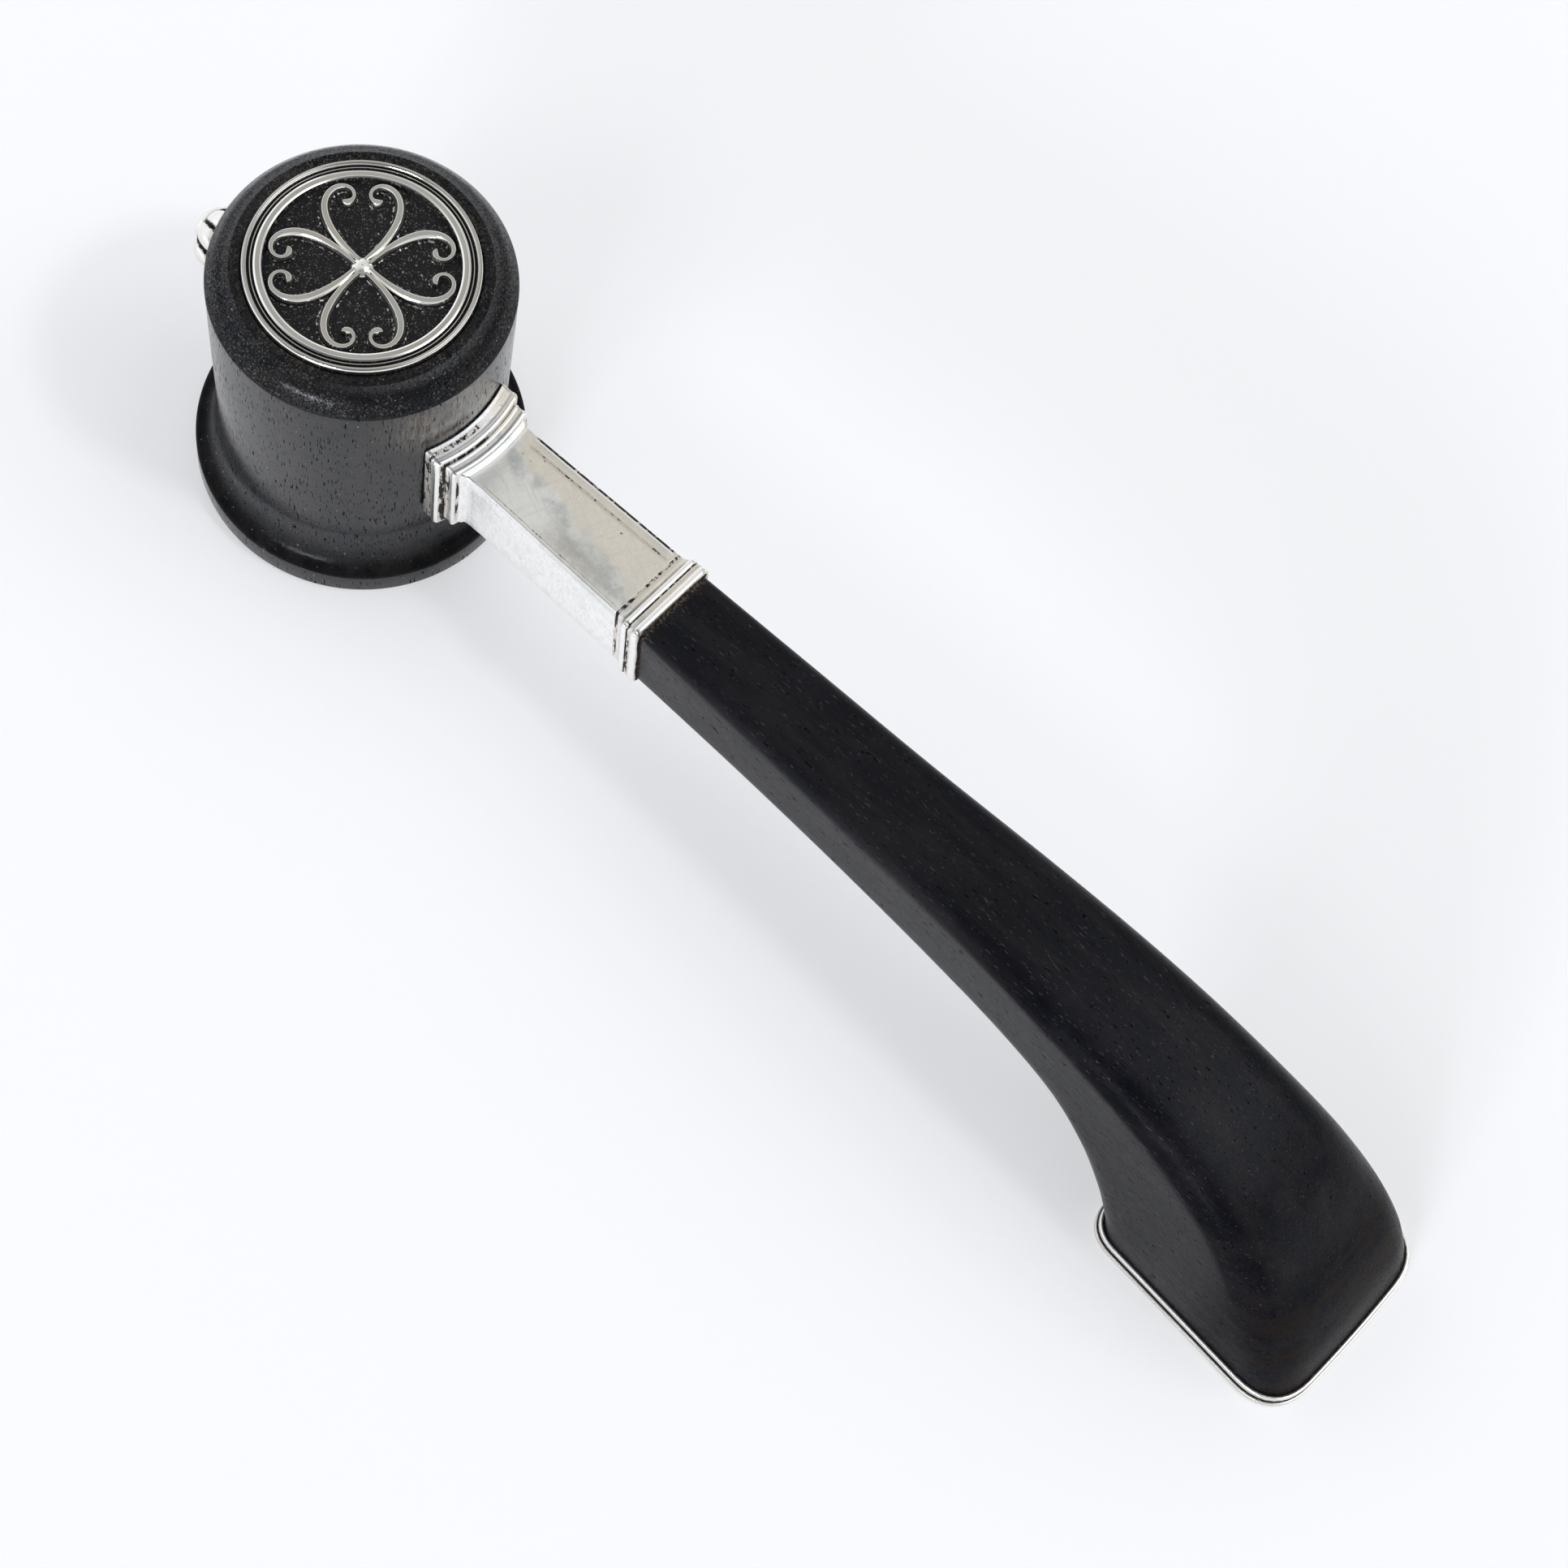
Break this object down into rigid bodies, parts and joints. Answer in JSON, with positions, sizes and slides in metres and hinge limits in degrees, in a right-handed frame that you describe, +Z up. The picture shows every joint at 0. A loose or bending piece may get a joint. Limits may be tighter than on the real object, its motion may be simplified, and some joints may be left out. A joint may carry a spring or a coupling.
{
  "type": "ceremonial gavel",
  "caption": "Ceremonial gavel: upright ebony drum head with a silver medallion on top, silver socket and knob, and an arched ebony handle that turns down to a silver end plate.",
  "frame": {"origin": "centre of the head's flat underside, on the surface that the gavel lies on", "axes": "+X from the head's axis along the handle, +Z up along the head's axis, the two sides mirrored about Y = 0"},
  "size_m": [0.2649, 0.0568, 0.0624],
  "materials": {
    "head_ebony": "polished ebony with a worn sheen",
    "handle_ebony": "polished ebony with a worn sheen",
    "medallion_silver": "polished silver relief on a blackened ground",
    "socket_silver": "silver with light tarnish and fine scratches",
    "plate_silver": "silver with light tarnish and fine scratches",
    "knob_silver": "polished silver, dark in its grooves"
  },
  "bodies": {
    "root": {"head_drum": "head_ebony", "medallion": "medallion_silver", "silver_socket": "socket_silver", "handle": "handle_ebony", "end_plate": "plate_silver", "finial": "knob_silver"}
  },
  "joints": []
}
